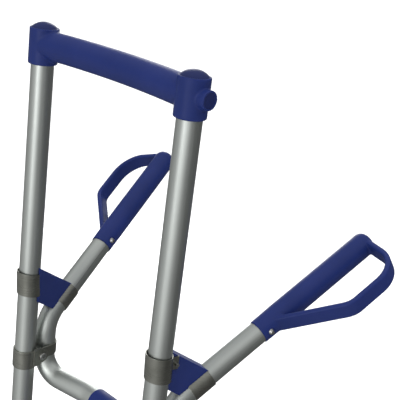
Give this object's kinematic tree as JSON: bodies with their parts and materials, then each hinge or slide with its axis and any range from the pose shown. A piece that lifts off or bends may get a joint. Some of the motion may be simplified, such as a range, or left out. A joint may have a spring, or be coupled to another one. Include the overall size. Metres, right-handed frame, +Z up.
{
  "type": "hand truck",
  "caption": "Two-wheeled aluminium hand truck with a tall tube frame, bowed blue crossbars, a bent handlebar with guarded grips, a toe plate and solid-tyred wheels.",
  "frame": {"origin": "on the floor at the centre of the bounding box: midway between the uprights, and midway between the toe plate's front edge and the grips' rear ends", "axes": "+X across the truck to its right-hand wheel, +Y towards the user's side where the grips point, +Z up along the uprights"},
  "size_m": [0.549, 0.5814, 1.3],
  "materials": {
    "satin_aluminium": "satin anodised tube",
    "blue_plastic": "fine moulded texture",
    "dark_blue_plastic": "moulded plugs and caps",
    "band_steel": "dark brushed strip",
    "zinc_steel": "zinc-plated fasteners",
    "cast_aluminium": "fine cast surface",
    "plate_aluminium": "mill finish with rolling lines",
    "axle_steel": "turned bar",
    "tyre_rubber": "matt black rubber",
    "rim_plastic": "moulded blue rim",
    "bush_plastic": "white bearing plastic"
  },
  "bodies": {
    "frame": {"top_crossbar": "blue_plastic", "top_bolt_cover": "dark_blue_plastic", "middle_crossbar": "blue_plastic", "middle_bolt_cover": "dark_blue_plastic", "lower_crossbar": "blue_plastic", "lower_bolt_cover": "dark_blue_plastic", "crossbar_boss_bolts": "zinc_steel", "crossbar_flush_bolts": "zinc_steel", "upright_right": "satin_aluminium", "upright_left": "satin_aluminium", "top_cap_right": "dark_blue_plastic", "top_cap_left": "dark_blue_plastic", "handle_tube_right": "satin_aluminium", "handle_tube_left": "satin_aluminium", "guarded_grip_right": "blue_plastic", "guarded_grip_left": "blue_plastic", "grip_rivet_right": "zinc_steel", "grip_rivet_left": "zinc_steel", "spacer_right": "blue_plastic", "spacer_left": "blue_plastic", "upright_band_right": "band_steel", "upright_band_left": "band_steel", "handle_band_right": "band_steel", "handle_band_left": "band_steel", "clamp_upright_strap_right": "band_steel", "clamp_upright_strap_left": "band_steel", "clamp_handle_strap_right": "band_steel", "clamp_handle_strap_left": "band_steel", "clamp_screw_right": "zinc_steel", "clamp_screw_left": "zinc_steel", "clamp_nut_right": "zinc_steel", "clamp_nut_left": "zinc_steel", "foot_casting_right": "cast_aluminium", "foot_casting_left": "cast_aluminium", "wheel_spacer_right": "zinc_steel", "wheel_spacer_left": "zinc_steel", "cross_sleeve": "blue_plastic", "joint_spigot": "satin_aluminium", "toe_plate": "plate_aluminium", "axle": "axle_steel", "spacer_pins": "zinc_steel", "foot_cross_bolts": "zinc_steel", "foot_cross_nuts": "zinc_steel", "toe_plate_screws": "zinc_steel", "axle_washers": "zinc_steel", "retaining_rings": "zinc_steel"},
    "wheel_right": {"tyre_right": "tyre_rubber", "wheel_rim_right": "rim_plastic", "wheel_bush_inner_right": "bush_plastic", "wheel_bush_outer_right": "bush_plastic", "hub_cap_right": "dark_blue_plastic"},
    "wheel_left": {"tyre_left": "tyre_rubber", "wheel_rim_left": "rim_plastic", "wheel_bush_inner_left": "bush_plastic", "wheel_bush_outer_left": "bush_plastic", "hub_cap_left": "dark_blue_plastic"}
  },
  "joints": [
    {"name": "wheel_right_spin", "type": "hinge", "parent": "frame", "child": "wheel_right", "pos_m": [0.203, 0.0496, 0.125], "axis": [1, 0, 0], "continuous": true},
    {"name": "wheel_left_spin", "type": "hinge", "parent": "frame", "child": "wheel_left", "pos_m": [-0.203, 0.0496, 0.125], "axis": [1, 0, 0], "continuous": true}
  ]
}
